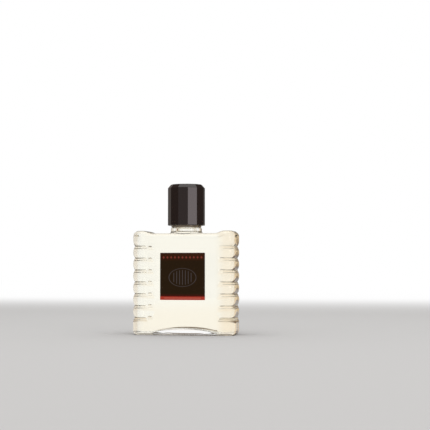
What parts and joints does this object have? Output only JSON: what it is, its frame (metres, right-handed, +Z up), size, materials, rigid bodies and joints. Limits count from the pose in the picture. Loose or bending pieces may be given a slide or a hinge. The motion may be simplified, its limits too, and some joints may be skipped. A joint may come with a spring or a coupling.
{
  "type": "aftershave bottle",
  "caption": "Flat ribbed clear glass flask of aftershave with a front label, a pour plug in the neck and a black twelve-sided screw cap.",
  "frame": {"origin": "on the surface that the bottle stands on, under the middle of its body", "axes": "+Z up along the neck and cap, +X across the wide front, -Y out of the labelled front panel"},
  "size_m": [0.093, 0.0361, 0.1346],
  "materials": {
    "clear_glass": "clear polished flint glass",
    "aftershave": "clear pale straw liquid",
    "natural_polyethylene": "translucent natural moulding",
    "label_paper": "near-black film label, satin",
    "black_gloss_plastic": "polished black moulding",
    "black_insert_plastic": "black moulding",
    "liner_foam": "fine closed-cell foam"
  },
  "bodies": {
    "bottle": {"glass_bottle": "clear_glass", "aftershave_liquid": "aftershave", "pour_plug": "natural_polyethylene", "front_label": "label_paper"},
    "liner": {"cap_liner": "liner_foam"},
    "cap": {"cap_shell": "black_gloss_plastic", "cap_insert": "black_insert_plastic"}
  },
  "joints": [
    {"name": "cap_rise", "type": "slide", "parent": "bottle", "child": "liner", "axis": [0, 0, 1], "range_m": [0, 0.0064]},
    {"name": "cap_turn", "type": "hinge", "parent": "liner", "child": "cap", "pos_m": [0, 0, 0.1138], "axis": [0, 0, 1], "range_deg": [0, 720]}
  ],
  "couplings": [
    {"joint": "cap_rise", "follows": "cap_turn", "m_per_rad": 0.00050532}
  ]
}
